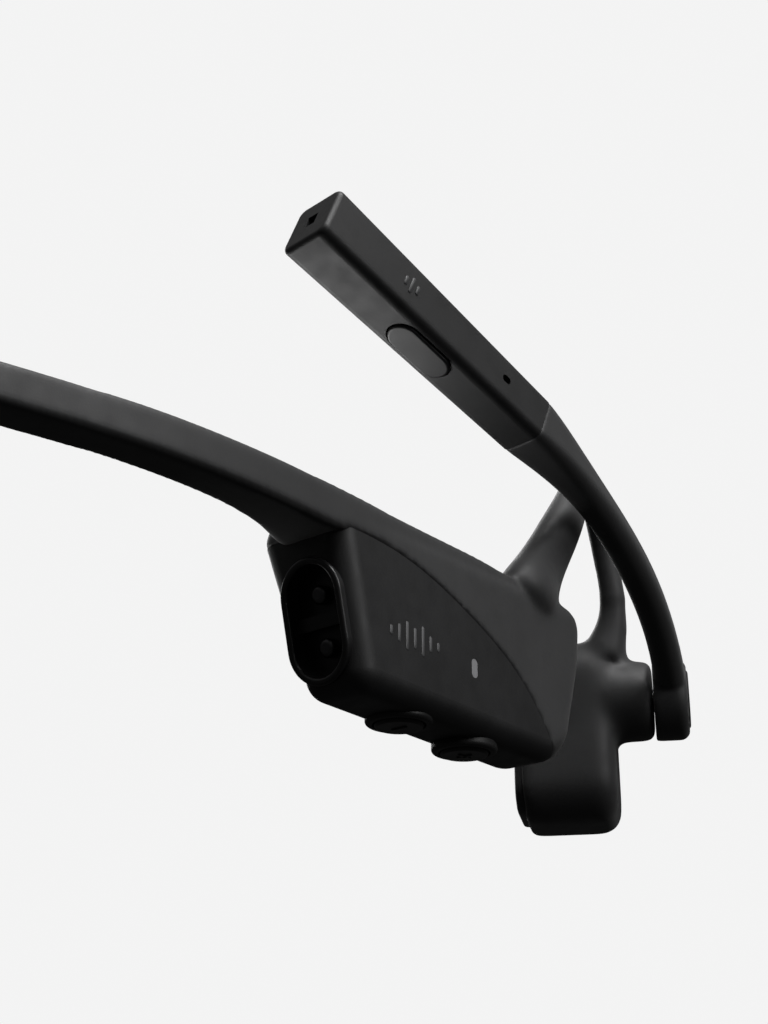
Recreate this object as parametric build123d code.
from build123d import *
from copy import deepcopy
from math import cos, radians, sin, sqrt, tan
import os

# Bone conduction headset with a swinging boom microphone, in millimetres.
# The wearer faces -Y, the wearer's right side is -X and +Z is up. The origin lies on the
# symmetry plane, level with the surface that the headset stands on, near the middle of its length.
# Most shapes are made for the right side. "lat" is outward from the right charging port,
# "fwd" is forward and "up" is above the port's centre. The left side is mirrored.

# ---- driving dimensions -------------------------------------------------------------
half_span = 52.0            # symmetry plane to the centre of the charging port
port_y = 9.0                # the port's centre behind the origin
port_z = 9.1                # the port's centre above the standing surface

# control pod
pod_toe = 18.0              # degrees that the pod points outward
pod_outer = 4.9             # outer face, from the port's centre plane
pod_inner = 4.7             # inner face at port height
pod_draft = 0.19            # the inner face leans outward per mm of height
pod_round = 2.2             # edge rounding
skin = 0.9                  # thickness of the soft overmould over the pod
wall = 1.2                  # hard wall of the pod
pod_split = -2.4            # joint plane between the pod's two halves

# volume buttons, under the right pod
button_places = {"volume_minus_button": (12.3, -8.4), "volume_plus_button": (23.2, -9.1)}
button_q = 0.2
button_r = 2.6
button_gap = 0.2
button_travel = 0.3
rim_width = 0.75
rim_depth = 0.3             # the button stands this far out of its rim

# neckband
band_width = 4.8
band_height = 3.8
band_up = 9.9               # middle of the band above the port's centre
band_start = (-0.25, -9.5)  # (lat, fwd) where the constant section begins
band_heading = 17.5         # degrees from straight back, at the pod
band_blend = 32.0           # degrees from straight back, where the tight bend begins
band_side_radius = 124.8
wire_r = 0.6
cable_r = 0.45
core_gap = 0.03             # wires and cables in their channels

# ear hook: stations of its centreline (lat, fwd, up), then half width and half thickness
hook_stations = [
    (10.9, 30.3, 8.6, 5.8, 3.2),
    (12.5, 33.2, 13.6, 5.0, 3.0),
    (14.0, 37.8, 20.9, 3.3, 2.5),
    (14.7, 42.2, 26.6, 2.5, 2.2),
    (14.5, 46.6, 31.0, 2.1, 1.9),
    (14.0, 51.3, 34.1, 1.9, 1.8),
    (13.5, 56.3, 35.2, 1.75, 1.65),
    (13.4, 60.4, 32.9, 1.65, 1.6),
    (13.8, 62.5, 27.6, 1.6, 1.6),
    (14.2, 63.6, 22.4, 1.7, 1.7),
    (13.6, 64.6, 18.4, 2.3, 2.2),
    (12.4, 65.4, 14.6, 3.4, 2.9),
]

# transducer
driver_centre = (6.1, 68.7, 4.8)
driver_toe = 12.0           # degrees that the transducer points inward
driver_long = 16.4          # front to back
driver_tall = 24.2
driver_thick = 12.4
driver_round = 2.6
driver_wall = 1.3
pad_proud = 0.8             # the contact pad stands this far out of the shell

# boom
hub_centre = (20.2, 68.7, 8.7)      # middle of the boom's disc
hub_r = 5.3
disc_thick = 4.2
axle_r = 1.5
axle_gap = 0.05
boom_lift = 26.5            # degrees that the boom rises towards the rear, as stored
arm_radius = 84.4
arm_bend = 34.0             # degrees that the arm bends towards the head
head_length = 35.5
head_tip = 7.0              # square section at the tip
head_seam = 5.9             # square section at the seam with the arm
head_roll = -16.6           # the square section's turn about the boom
head_wall = 0.9
mute_from_tip = 18.3
mute_long = 8.5
mute_wide = 3.9
mute_travel = 0.3

os.makedirs("parts", exist_ok=True)


# ---- frames -------------------------------------------------------------------------
def at(lat, fwd, up):
    """A point of the right side in the part's own frame."""
    return Vector(-(half_span + lat), port_y - fwd, port_z + up)


def heading(lat, fwd, up=0.0):
    """A direction of the right side in the part's own frame."""
    return Vector(-lat, -fwd, up)


# Pod frame: x forward along the pod, y up, z outward.
toe = radians(pod_toe)
pod_frame = Plane(
    origin=at(0, 0, 0),
    x_dir=heading(sin(toe), cos(toe)),
    z_dir=heading(cos(toe), -sin(toe)),
)

# Driver frame: x forward along the transducer, y up, z outward.
turn = radians(driver_toe)
driver_frame = Plane(
    origin=at(*driver_centre),
    x_dir=heading(-sin(turn), cos(turn)),
    z_dir=heading(cos(turn), sin(turn)),
)

# Boom frame: x along the stored boom's root, y outward along the hub's axis.
lift = radians(boom_lift)
hub_axis = driver_frame.z_dir
boom_back = heading(sin(turn) * cos(lift), -cos(turn) * cos(lift), sin(lift))
boom_frame = Plane(origin=at(*hub_centre), x_dir=boom_back, z_dir=boom_back.cross(hub_axis))


def on_pod(shape):
    return pod_frame.location * shape


def on_driver(shape):
    return driver_frame.location * shape


def on_boom(shape):
    return boom_frame.location * shape


def mirrored(shape):
    return mirror(shape, about=Plane.YZ)


# ---- small helpers ------------------------------------------------------------------
def rounded_outline(corners):
    """A flat face from (x, y, radius) corners."""
    face = make_face(Polyline([(x, y) for x, y, r in corners], close=True))
    for x, y, r in corners:
        if r > 0:
            corner = min(face.vertices(), key=lambda v: (v.X - x) ** 2 + (v.Y - y) ** 2)
            face = fillet(corner, r)
    return face


def slab(face, low, high):
    """The face extruded from z = low to z = high."""
    return Pos(0, 0, low) * extrude(face, high - low)


def stadium(long, wide):
    """A round-ended slot outline, long along x."""
    return SlotOverall(long, wide)


def block(low, high):
    """A box from its two extreme corners."""
    size = [b - a for a, b in zip(low, high)]
    middle = [(a + b) / 2 for a, b in zip(low, high)]
    return Pos(*middle) * Box(*size)


def tube_route(points):
    """A route of straight runs joined by the largest tangent arcs that fit."""
    route = [Vector(*p) for p in points]
    radii = []
    for before, corner, after in zip(route, route[1:], route[2:]):
        run_in = corner - before
        run_out = after - corner
        half_turn = radians(run_in.get_angle(run_out)) / 2
        radii.append(0.45 * min(run_in.length, run_out.length) / tan(half_turn))
    return FilletPolyline(*route, radius=radii)


def swept(route, radius):
    """A round solid along a route."""
    section = Plane(origin=route @ 0, z_dir=route % 0) * Circle(radius)
    return sweep(section, path=route)


def fresh(shape):
    """Copies of the shape's solids, so that shared forms stay exact from one use to the next."""
    return Part() + [deepcopy(solid) for solid in shape.solids()]


def cut(shape, *cutters):
    """The shape less each cutter."""
    result = fresh(shape)
    for cutter in cutters:
        result = result - fresh(cutter)
    return result


def joined(shape, *others):
    """The shape with the others fused on."""
    result = fresh(shape)
    for other in others:
        result = result + fresh(other)
    return result


def common(shape, other):
    return fresh(shape) & fresh(other)


def write(name, shape):
    export_step(shape, "parts/" + name + ".step")


# ---- pod ----------------------------------------------------------------------------
pod_corners = [
    (-3.1, 11.7, 2.6),
    (1.6, -7.4, 2.6),
    (36.3, -8.5, 6.0),
    (40.2, 4.0, 20.0),
    (41.0, 11.3, 3.0),
]


def pod_block(inset, rounding):
    """The pod's outer form, smaller by the inset on every side, with its edges rounded."""
    outline = rounded_outline(pod_corners)
    if inset > 0:
        outline = offset(outline, -inset)
    body = slab(outline, -9, pod_outer - inset)
    lean = sqrt(1 + pod_draft**2)
    inner_foot = -pod_inner + inset * lean
    keep = make_face(Polyline([
        (inner_foot + 20 * pod_draft, -20),
        (inner_foot - 20 * pod_draft, 20),
        (20, 20),
        (20, -20),
    ], close=True))
    across = Plane(origin=(-20, 0, 0), x_dir=(0, 0, 1), z_dir=(-1, 0, 0))
    body = body & (across.location * extrude(keep, -80))
    return fillet(body.edges(), rounding) if rounding else body


# The overmould's edge on the pod: a long curve from the rear top to the front foot.
swoosh = Spline(
    (-8.0, 8.3), (-1.9, 8.4), (7.4, 7.8), (14.0, 6.1), (20.8, 3.4), (27.9, -0.8), (32.3, -5.6),
    (34.2, -8.6), (35.4, -12.0),
)
soft_zone = make_face(Curve() + [
    swoosh,
    Polyline((35.4, -12.0), (60.0, -12.0), (60.0, 40.0), (-8.0, 40.0), (-8.0, 8.3)),
])
soft_space = slab(soft_zone, -12, 12)

pod_full = pod_block(0, pod_round)
pod_core = pod_block(skin, pod_round - 0.6)
pod_hollow = pod_block(skin + wall, 0) & block((4.6, -14, -12), (31.0, 14, 12))
pod_hard = joined(pod_core, cut(pod_full, soft_space))
saddle = cut(common(pod_full, soft_space), pod_core)
outer_half = block((-10, -16, pod_split), (50, 16, 10))
inner_half = block((-10, -16, -10), (50, 16, pod_split))

# ---- charging port ------------------------------------------------------------------
# Port frame: x across the pod, y up its sloping rear end, z out of the port.
port_tilt = radians(14.0)
port_plane = Plane(
    origin=(-0.35, -0.2, -0.1),
    x_dir=(0, 0, 1),
    z_dir=(-cos(port_tilt), -sin(port_tilt), 0),
)
port_tall = 12.9
port_wide = 7.9
port_lip = 0.35             # the rim stands out of the pod's end
port_floor = 2.0            # recess depth below the pod's end
port_deep = 3.0
upright = Rot(0, 0, 90)


def port_oval(inset):
    return upright * stadium(port_tall - 2 * inset, port_wide - 2 * inset)


port_seat = port_plane.location * slab(port_oval(0), -port_deep, 4)
port_rim = slab(port_oval(0), -port_deep, port_lip) - slab(port_oval(0.8), -port_floor, 2)
port_rim = fillet(port_rim.edges().group_by(Axis.Z)[-1], 0.3)
bar = block((-port_wide / 2 + 0.4, -0.7, -port_floor), (port_wide / 2 - 0.4, 0.7, -0.9))
pin_rise = 2.7
port_insert = port_rim + bar
pin_solids = []
for side in (-1, 1):
    place = Pos(0, side * pin_rise, 0)
    port_insert = port_insert - place * Pos(0, 0, -2.6) * Cylinder(1.0, 3.0)
    pin = Pos(0, 0, -1.95) * Cylinder(1.0, 2.1)
    pin = fillet(pin.edges().group_by(Axis.Z)[-1], 0.5)
    pin_solids.append(place * pin)
magnet_solids = [Pos(0, side * 2.7, -port_deep - 0.8) * Box(4.6, 2.6, 1.5) for side in (-1, 1)]
magnet_pockets = [Pos(0, side * 2.7, -port_deep - 0.7) * Box(4.7, 2.7, 1.8) for side in (-1, 1)]

# ---- volume buttons -----------------------------------------------------------------
# Each button is a disc with a flange inside the wall, a small gap below its switch.
flange_low = -6.45
flange_high = -6.1
rim_solids = []
bore_solids = []
button_solids = {}
switch_solids = []


def disc_between(low, high, radius):
    """A disc about the up axis of the pod frame."""
    return Pos(0, (low + high) / 2, 0) * (Rot(90, 0, 0) * Cylinder(radius, high - low))


for name, (p, face_up) in button_places.items():
    place = Pos(p, 0, button_q)
    rim = disc_between(face_up + rim_depth, -6.5, button_r + button_gap + rim_width)
    rim_solids.append(place * fillet(rim.edges().group_by(Axis.Y)[0], 0.45))
    through = disc_between(-12, -5, button_r + button_gap)
    bore_solids.append(place * (through + disc_between(-6.5, -5, button_r + 0.9)))
    cap = disc_between(face_up, flange_high, button_r)
    cap = fillet(cap.edges().group_by(Axis.Y)[0], 0.35)
    button_solids[name] = place * (cap + disc_between(flange_low, flange_high, button_r + 0.5))
    plunger = disc_between(flange_high + button_travel, -5.5, 0.75)
    body = block((-1.5, -5.5, -1.5), (1.5, -4.4, 1.5))
    switch_solids.append(place * (plunger + body))

# ---- status light -------------------------------------------------------------------
light_place = (19.1, -1.3)
light_slot = Pos(light_place[0], light_place[1], 0) * (upright * stadium(2.1, 1.0))
light_pipe = slab(light_slot, 2.3, pod_outer - 0.02)
light_bore = slab(light_slot, 0, 8)

# ---- neckband -----------------------------------------------------------------------
blend = radians(band_blend)
start = radians(band_heading)
p0 = at(band_start[0], band_start[1], band_up)
side_rise = band_side_radius * (sin(blend) - sin(start))
side_shift = band_side_radius * (cos(start) - cos(blend))
p1 = p0 + Vector(side_shift, side_rise, 0)
back_radius = -p1.X / cos(blend)


def across_mirror(v):
    return Vector(-v.X, v.Y, v.Z)


lead_in = 12.0              # straight tails that anchor the wire in the pods
tail = p0 - Vector(sin(start), cos(start), 0) * lead_in
right_tail = Line(tail, p0)
right_side = TangentArc(p0, p1, tangent=(sin(start), cos(start), 0))
back_arc = TangentArc(p1, across_mirror(p1), tangent=right_side % 1)
left_side = TangentArc(across_mirror(p1), across_mirror(p0), tangent=back_arc % 1)
left_tail = Line(across_mirror(p0), across_mirror(tail))
band_route = Wire([*right_side.edges(), *back_arc.edges(), *left_side.edges()])
full_route = Wire([
    *right_tail.edges(), *right_side.edges(), *back_arc.edges(), *left_side.edges(),
    *left_tail.edges(),
])


def band_plane(point, direction):
    """Section plane of the band: x outward, y up."""
    level = Vector(0, 0, 1)
    return Plane(origin=point, x_dir=level.cross(direction), z_dir=direction)


wire_shift = -1.05
cable_shift = 1.15
first = band_plane(p0, right_side % 0)
band_face = first * RectangleRounded(band_width, band_height, 1.3)
sleeve = sweep(band_face, path=band_route)
tail_plane = band_plane(tail, right_tail % 0)


def band_core(radius, shift):
    return sweep(tail_plane * (Pos(shift, 0) * Circle(radius)), path=full_route)


neck_wire = band_core(wire_r, wire_shift)
neck_cable = band_core(cable_r, cable_shift)
neck_channels = [
    band_core(wire_r + core_gap, wire_shift),
    band_core(cable_r + core_gap, cable_shift),
]

# The band widens and deepens into the pod's rear end.
flare_sections = [
    on_pod(Plane(origin=(x, up, shift), x_dir=(0, 0, 1), z_dir=(-1, 0, 0)) * RectangleRounded(w, h, 1.5))
    for x, up, shift, w, h in (
        (2.0, 8.9, -0.8, 10.2, 3.8),
        (-2.4, 9.5, -0.4, 9.4, 4.3),
        (-6.2, 9.7, 0.2, 7.2, 4.0),
    )
]
flare_sections.append(band_face)
flare = cut(loft(flare_sections), on_pod(pod_full))
sleeve = cut(joined(sleeve, flare, mirrored(flare)), *neck_channels)

# ---- ear hook -----------------------------------------------------------------------
hook_points = [at(*station[:3]) for station in hook_stations]
hook_line = Spline(*hook_points)
hook_sections = []
for station, point in zip(hook_stations, hook_points):
    along = hook_line % hook_line.param_at_point(point)
    sideways = along.cross(Vector(hub_axis.X, hub_axis.Y, 0)).normalized()
    section_plane = Plane(origin=point, x_dir=sideways, z_dir=along)
    hook_sections.append(section_plane * Ellipse(station[3], station[4]))
hook_form = loft(hook_sections)
hook_shift = 0.62


def hook_core(radius, shift):
    """A wire or cable through the hook, from the pod's front to the transducer's top."""
    beside = Vector(hub_axis.X, hub_axis.Y, 0) * shift
    points = [hook_line @ (0.02 + 0.94 * i / core_runs) + beside for i in range(core_runs + 1)]
    return swept(tube_route(points), radius)


core_runs = 16
hook_wire_r = 0.5
hook_cable_r = 0.35
hook_wire = hook_core(hook_wire_r, -hook_shift)
hook_cable = hook_core(hook_cable_r, hook_shift)
hook_channels = [
    hook_core(hook_wire_r + core_gap, -hook_shift),
    hook_core(hook_cable_r + core_gap, hook_shift),
]

# ---- transducer ---------------------------------------------------------------------
hub_local = driver_frame.to_local_coords(at(*hub_centre))
boss_face = hub_local.Z - disc_thick / 2 - 0.3
wall_out = driver_thick / 2
wall_in = wall_out - driver_wall
hollow_long = driver_long - 2 * driver_wall
hollow_tall = driver_tall - 2 * driver_wall


def plate(long, tall, round_by, low, high):
    return slab(RectangleRounded(long, tall, round_by), low, high)


driver_form = plate(driver_long, driver_tall, 5.0, -wall_out, wall_out)
driver_form = fillet(driver_form.edges().group_by(Axis.Z)[-1], driver_round)
driver_form = fillet(driver_form.edges().group_by(Axis.Z)[0], 1.0)
hub_place = Pos(hub_local.X, hub_local.Y, 0)
boss = hub_place * Pos(0, 0, (boss_face + wall_in) / 2) * Cylinder(hub_r, boss_face - wall_in)
boss = fillet(boss.edges().group_by(Axis.Z)[-1], 0.5)
driver_hollow = plate(hollow_long, hollow_tall, 3.7, -wall_out - 1, wall_in)
driver_shell = driver_form - driver_hollow
boss_shell = joined(driver_shell, boss) - hub_place * Pos(0, 0, 8) * Cylinder(axle_r + 0.02, 16)

contact_pad = plate(hollow_long, hollow_tall, 3.7, -wall_out - pad_proud, -5.2)
contact_pad = fillet(contact_pad.edges().group_by(Axis.Z)[0], 0.6)
bracket = plate(hollow_long, hollow_tall, 3.7, -5.2, -4.2) + plate(6.0, 10.0, 1.5, -4.2, -2.8)
spring_plate = plate(11.6, 16.6, 2.5, -2.8, -2.4)
for side in (-1, 1):
    spring_plate -= Pos(side * 4.3, 0, 0) * plate(0.8, 11.0, 0.35, -3, -2)
    spring_plate -= Pos(0, side * 6.7, 0) * plate(6.0, 0.8, 0.35, -3, -2)
yoke = plate(11.6, 16.6, 2.5, -2.4, 3.4) - plate(9.8, 14.8, 1.8, -3, 2.6)
magnet = plate(6.0, 11.0, 1.0, -0.4, 2.6)
pole_plate = plate(6.0, 11.0, 1.0, -1.1, -0.4)
voice_coil = plate(8.8, 13.8, 1.6, -2.4, 1.4) - plate(6.8, 11.8, 1.2, -3, 2)

# ---- multifunction button, on the left transducer -----------------------------------
key_place = Pos(-0.8, 2.4, 0)
key_r = 4.2
key_rise = 0.75             # the button stands this far out of the shell
key_travel = 0.3


def key_disc(radius, low, high):
    return key_place * Pos(0, 0, (low + high) / 2) * Cylinder(radius, high - low)


key_rim = key_disc(key_r + 1.0, wall_in, wall_out + 0.4)
key_rim = fillet(key_rim.edges().group_by(Axis.Z)[-1], 0.38)
key_shell = joined(driver_shell, key_rim) - key_disc(key_r + button_gap, 0, 12)
key_shell -= key_disc(key_r + 0.55, 0, wall_in + 0.5)
key_cap = key_disc(key_r, wall_in + 0.05, wall_out + key_rise)
key_cap = fillet(key_cap.edges().group_by(Axis.Z)[-1], 0.4)
key_cap += key_disc(key_r + 0.4, wall_in + 0.05, wall_in + 0.45)
key_switch = key_place * block((-1.5, -1.5, 3.4), (1.5, 1.5, 4.3))
key_switch += key_disc(0.75, 4.3, wall_in + 0.05 - key_travel)

# ---- boom ---------------------------------------------------------------------------
# In the boom frame the arm bends towards -y along an arc that starts at the origin.
def arm_plane(angle, roll=0.0):
    """Section plane of the arm after that many degrees of bend: x outward, z along."""
    a = radians(angle)
    r = radians(roll)
    return Plane(
        origin=(arm_radius * sin(a), -arm_radius * (1 - cos(a)), 0),
        x_dir=(sin(a) * cos(r), cos(a) * cos(r), sin(r)),
        z_dir=(cos(a), -sin(a), 0),
    )


arm_sections = [
    arm_plane(angle, roll) * RectangleRounded(wide, tall, rounding)
    for angle, roll, wide, tall, rounding in (
        (0.0, 0, 4.0, 5.4, 1.9),
        (6.0, 0, 3.9, 4.7, 1.85),
        (13.0, 0, 3.9, 4.3, 1.85),
        (20.0, 0, 3.9, 4.3, 1.85),
        (26.0, -5, 4.2, 4.6, 1.75),
        (30.5, -12, 5.1, 5.3, 1.5),
        (arm_bend, head_roll, head_seam, head_seam, 1.2),
    )
]
head_plane = arm_plane(arm_bend, head_roll)
hub_out = Plane(origin=(0, 0, 0), x_dir=(1, 0, 0), z_dir=(0, 1, 0))


def hub_disc(radius, low, high):
    """A disc about the hub's axis, from y = low to y = high in the boom frame."""
    return hub_out.location * (Pos(0, 0, (low + high) / 2) * Cylinder(radius, high - low))


def head_block(size_a, size_b, low, high, rounding):
    """A square-section block of the head, from low to high along it."""
    ends = [
        Plane(origin=(0, 0, place)) * RectangleRounded(size, size, rounding)
        for place, size in ((low, size_a), (high, size_b))
    ]
    return loft(ends)


def head_size(along):
    return head_seam + (head_tip - head_seam) * along / head_length


disc = hub_disc(hub_r, -disc_thick / 2, disc_thick / 2)
disc = fillet(disc.edges().group_by(Axis.Y)[-1], 1.3)
disc = fillet(disc.edges().group_by(Axis.Y)[0], 0.4)
cap_seat = 0.9
recess_r = 3.2
floor_top = -0.3
cap_r = 3.9
spigot_size = head_seam - 2 * head_wall - 0.04
spigot = head_block(spigot_size, spigot_size, -1.0, 3.0, 0.8)
arm = loft(arm_sections) + disc
arm = arm + head_plane.location * spigot
arm -= hub_disc(axle_r + axle_gap, -4, 4)
arm -= hub_disc(recess_r, floor_top, 4)
arm -= hub_disc(cap_r + 0.02, cap_seat, 4)
arc_line = CenterArc((0, -arm_radius, 0), arm_radius, 90 - arm_bend, arm_bend - 4.6)


def arm_core(radius, shift):
    line = Pos(0, 0, shift) * arc_line
    section = Plane(origin=line @ 0, z_dir=line % 0) * Circle(radius)
    return sweep(section, path=line)


arm_wire = arm_core(wire_r - 0.05, -0.85)
arm_cable = arm_core(cable_r, 0.85)
arm = arm - arm_core(wire_r - 0.05 + core_gap, -0.85) - arm_core(cable_r + core_gap, 0.85)

hub_cap = hub_disc(cap_r, cap_seat, disc_thick / 2 + 0.15)
hub_cap = fillet(hub_cap.edges().group_by(Axis.Y)[-1], 0.5)
axle_inner = wall_in + 0.05 - hub_local.Z
pivot_axle = hub_disc(axle_r, axle_inner, 0.8) - hub_disc(0.6, axle_inner - 1, 2)
friction_washer = hub_disc(2.9, floor_top + 0.02, floor_top + 0.36) - hub_disc(axle_r + 0.1, -2, 2)
retaining_clip = hub_disc(2.7, floor_top + 0.4, floor_top + 0.85) - hub_disc(axle_r + 0.01, -2, 2)

head = head_block(head_seam, head_tip, 0, head_length, 1.2)
head = fillet(head.faces().sort_by(Axis.Z)[-1].edges(), 0.6)
inner = 2 * head_wall
head -= head_block(head_seam - inner, head_tip - inner, 0, head_length - 1.2, 0.8)
mic_hole = 1.6
head -= block((-mic_hole / 2, -mic_hole / 2, 30), (mic_hole / 2, mic_hole / 2, 40))
mute_up = head_length - mute_from_tip
mute_face = -head_size(mute_up) / 2
side_mic_up = head_length - 28.6
mute_plane = Plane(origin=(0, 0, mute_up), x_dir=(0, 0, 1), z_dir=(0, -1, 0))


def mute_slab(grow, low, high):
    """A stadium under the head's button face, from y = -high to y = -low."""
    outline = stadium(mute_long + 2 * grow, mute_wide + 2 * grow)
    return mute_plane.location * slab(outline, low, high)


head -= mute_slab(button_gap, 1, 6)
side_bore = Plane(origin=(0, 0, side_mic_up), x_dir=(0, 0, 1), z_dir=(1, 0, 0))
head -= side_bore.location * slab(stadium(1.3, 0.9), 1, 6)
mute_button = mute_slab(0, 1.9, -mute_face + 0.35)
mute_button = fillet(mute_button.edges().group_by(Axis.Y)[0], 0.3)
mute_button += mute_plane.location * slab(stadium(mute_long + 0.9, mute_wide), 1.9, 2.26)
mute_switch = Pos(0, 0, mute_up) * block((-1.4, -1.2, -1.6), (1.4, 0.4, 1.6))
mute_switch += mute_plane.location * Pos(0, 0, 1.4) * Cylinder(0.7, 0.4)
boom_board = block((-1.8, 0.4, 4.0), (1.8, 1.0, 32.4))
tip_mic = block((-1.5, -1.5, 32.6), (1.5, 1.3, 33.8))
side_mic = block((0.7, -1.9, side_mic_up - 1.6), (1.85, 0.3, side_mic_up + 1.6))
tip_screen = block((-1.6, -1.6, 34.0), (1.6, 1.6, 34.2))
side_screen = block((1.9, -1.4, side_mic_up - 1.3), (2.05, 1.4, side_mic_up + 1.3))


# ---- assemble the pods and hooks ----------------------------------------------------
pod_shell = cut(pod_hard, pod_hollow)
right_shell = pod_shell
for rim in rim_solids:
    right_shell = joined(right_shell, cut(rim, pod_hollow))
pockets = [port_plane.location * pocket for pocket in magnet_pockets]
right_shell = cut(right_shell, *bore_solids, port_seat, light_bore, *pockets)
outer_side = on_pod(outer_half)
inner_side = on_pod(inner_half)
right_shell = cut(on_pod(right_shell), *neck_channels, *hook_channels)
left_shell = cut(mirrored(cut(on_pod(pod_shell), *hook_channels)), *neck_channels)

hook_sleeve = cut(hook_form, on_pod(pod_core), on_driver(driver_form))
hook_sleeve = cut(joined(hook_sleeve, on_pod(saddle)), *hook_channels)
right_hook_sleeve = cut(hook_sleeve, on_driver(boss), *neck_channels)
left_hook_sleeve = cut(mirrored(hook_sleeve), *neck_channels)

main_board = block((5.6, -2.4, -0.9), (30.4, 8.0, -0.1))
radio_shield = block((8.0, 0.4, -0.1), (16.5, 7.4, 1.5))
status_led = block((18.3, -2.1, -0.1), (19.9, -0.5, 0.5))
battery = block((6.0, -4.4, -0.8), (29.5, 8.2, 2.5))
battery_board = block((7.0, 1.0, -2.1), (16.5, 8.0, -1.3))

nodes = {
    "neckband_sleeve": sleeve,
    "neckband_spring_wire": neck_wire,
    "neckband_cable": neck_cable,
    "right_hook_sleeve": right_hook_sleeve,
    "right_hook_wire": hook_wire,
    "right_hook_cable": hook_cable,
    "left_hook_sleeve": left_hook_sleeve,
    "left_hook_wire": mirrored(hook_wire),
    "left_hook_cable": mirrored(hook_cable),
    "right_pod_outer_shell": common(right_shell, outer_side),
    "right_pod_inner_shell": common(right_shell, inner_side),
    "left_pod_outer_shell": common(left_shell, mirrored(outer_side)),
    "left_pod_inner_shell": common(left_shell, mirrored(inner_side)),
    "charge_port_frame": on_pod(port_plane.location * port_insert),
    "charge_contacts": on_pod(port_plane.location * Compound(children=pin_solids)),
    "charge_port_magnets": on_pod(port_plane.location * Compound(children=magnet_solids)),
    "status_light_pipe": on_pod(light_pipe),
    "status_led": on_pod(status_led),
    "main_board": on_pod(main_board),
    "radio_shield": on_pod(radio_shield),
    "volume_switches": on_pod(Compound(children=switch_solids)),
    "battery": mirrored(on_pod(battery)),
    "battery_board": mirrored(on_pod(battery_board)),
    "right_transducer_shell": cut(on_driver(boss_shell), *hook_channels),
    "left_transducer_shell": mirrored(cut(on_driver(key_shell), *hook_channels)),
    "multifunction_button": mirrored(on_driver(key_cap)),
    "multifunction_switch": mirrored(on_driver(key_switch)),
    "boom_pivot_axle": on_boom(pivot_axle),
    "boom_arm": on_boom(arm),
    "boom_arm_wire": on_boom(arm_wire),
    "boom_arm_cable": on_boom(arm_cable),
    "boom_hub_cap": on_boom(hub_cap),
    "boom_friction_washer": on_boom(friction_washer),
    "boom_retaining_clip": on_boom(retaining_clip),
}
for name, button in button_solids.items():
    nodes[name] = on_pod(button)
for part_name, shape in (
    ("contact_pad", contact_pad),
    ("driver_bracket", bracket),
    ("driver_spring_plate", spring_plate),
    ("driver_yoke", yoke),
    ("driver_magnet", magnet),
    ("driver_pole_plate", pole_plate),
    ("driver_voice_coil", voice_coil),
):
    nodes["right_" + part_name] = on_driver(shape)
    nodes["left_" + part_name] = mirrored(on_driver(shape))
for part_name, shape in (
    ("boom_head_shell", head),
    ("mute_button", mute_button),
    ("mute_switch", mute_switch),
    ("boom_board", boom_board),
    ("boom_tip_microphone", tip_mic),
    ("boom_side_microphone", side_mic),
    ("boom_tip_screen", tip_screen),
    ("boom_side_screen", side_screen),
):
    nodes[part_name] = on_boom(head_plane.location * shape)

for name, shape in nodes.items():
    write(name, shape)
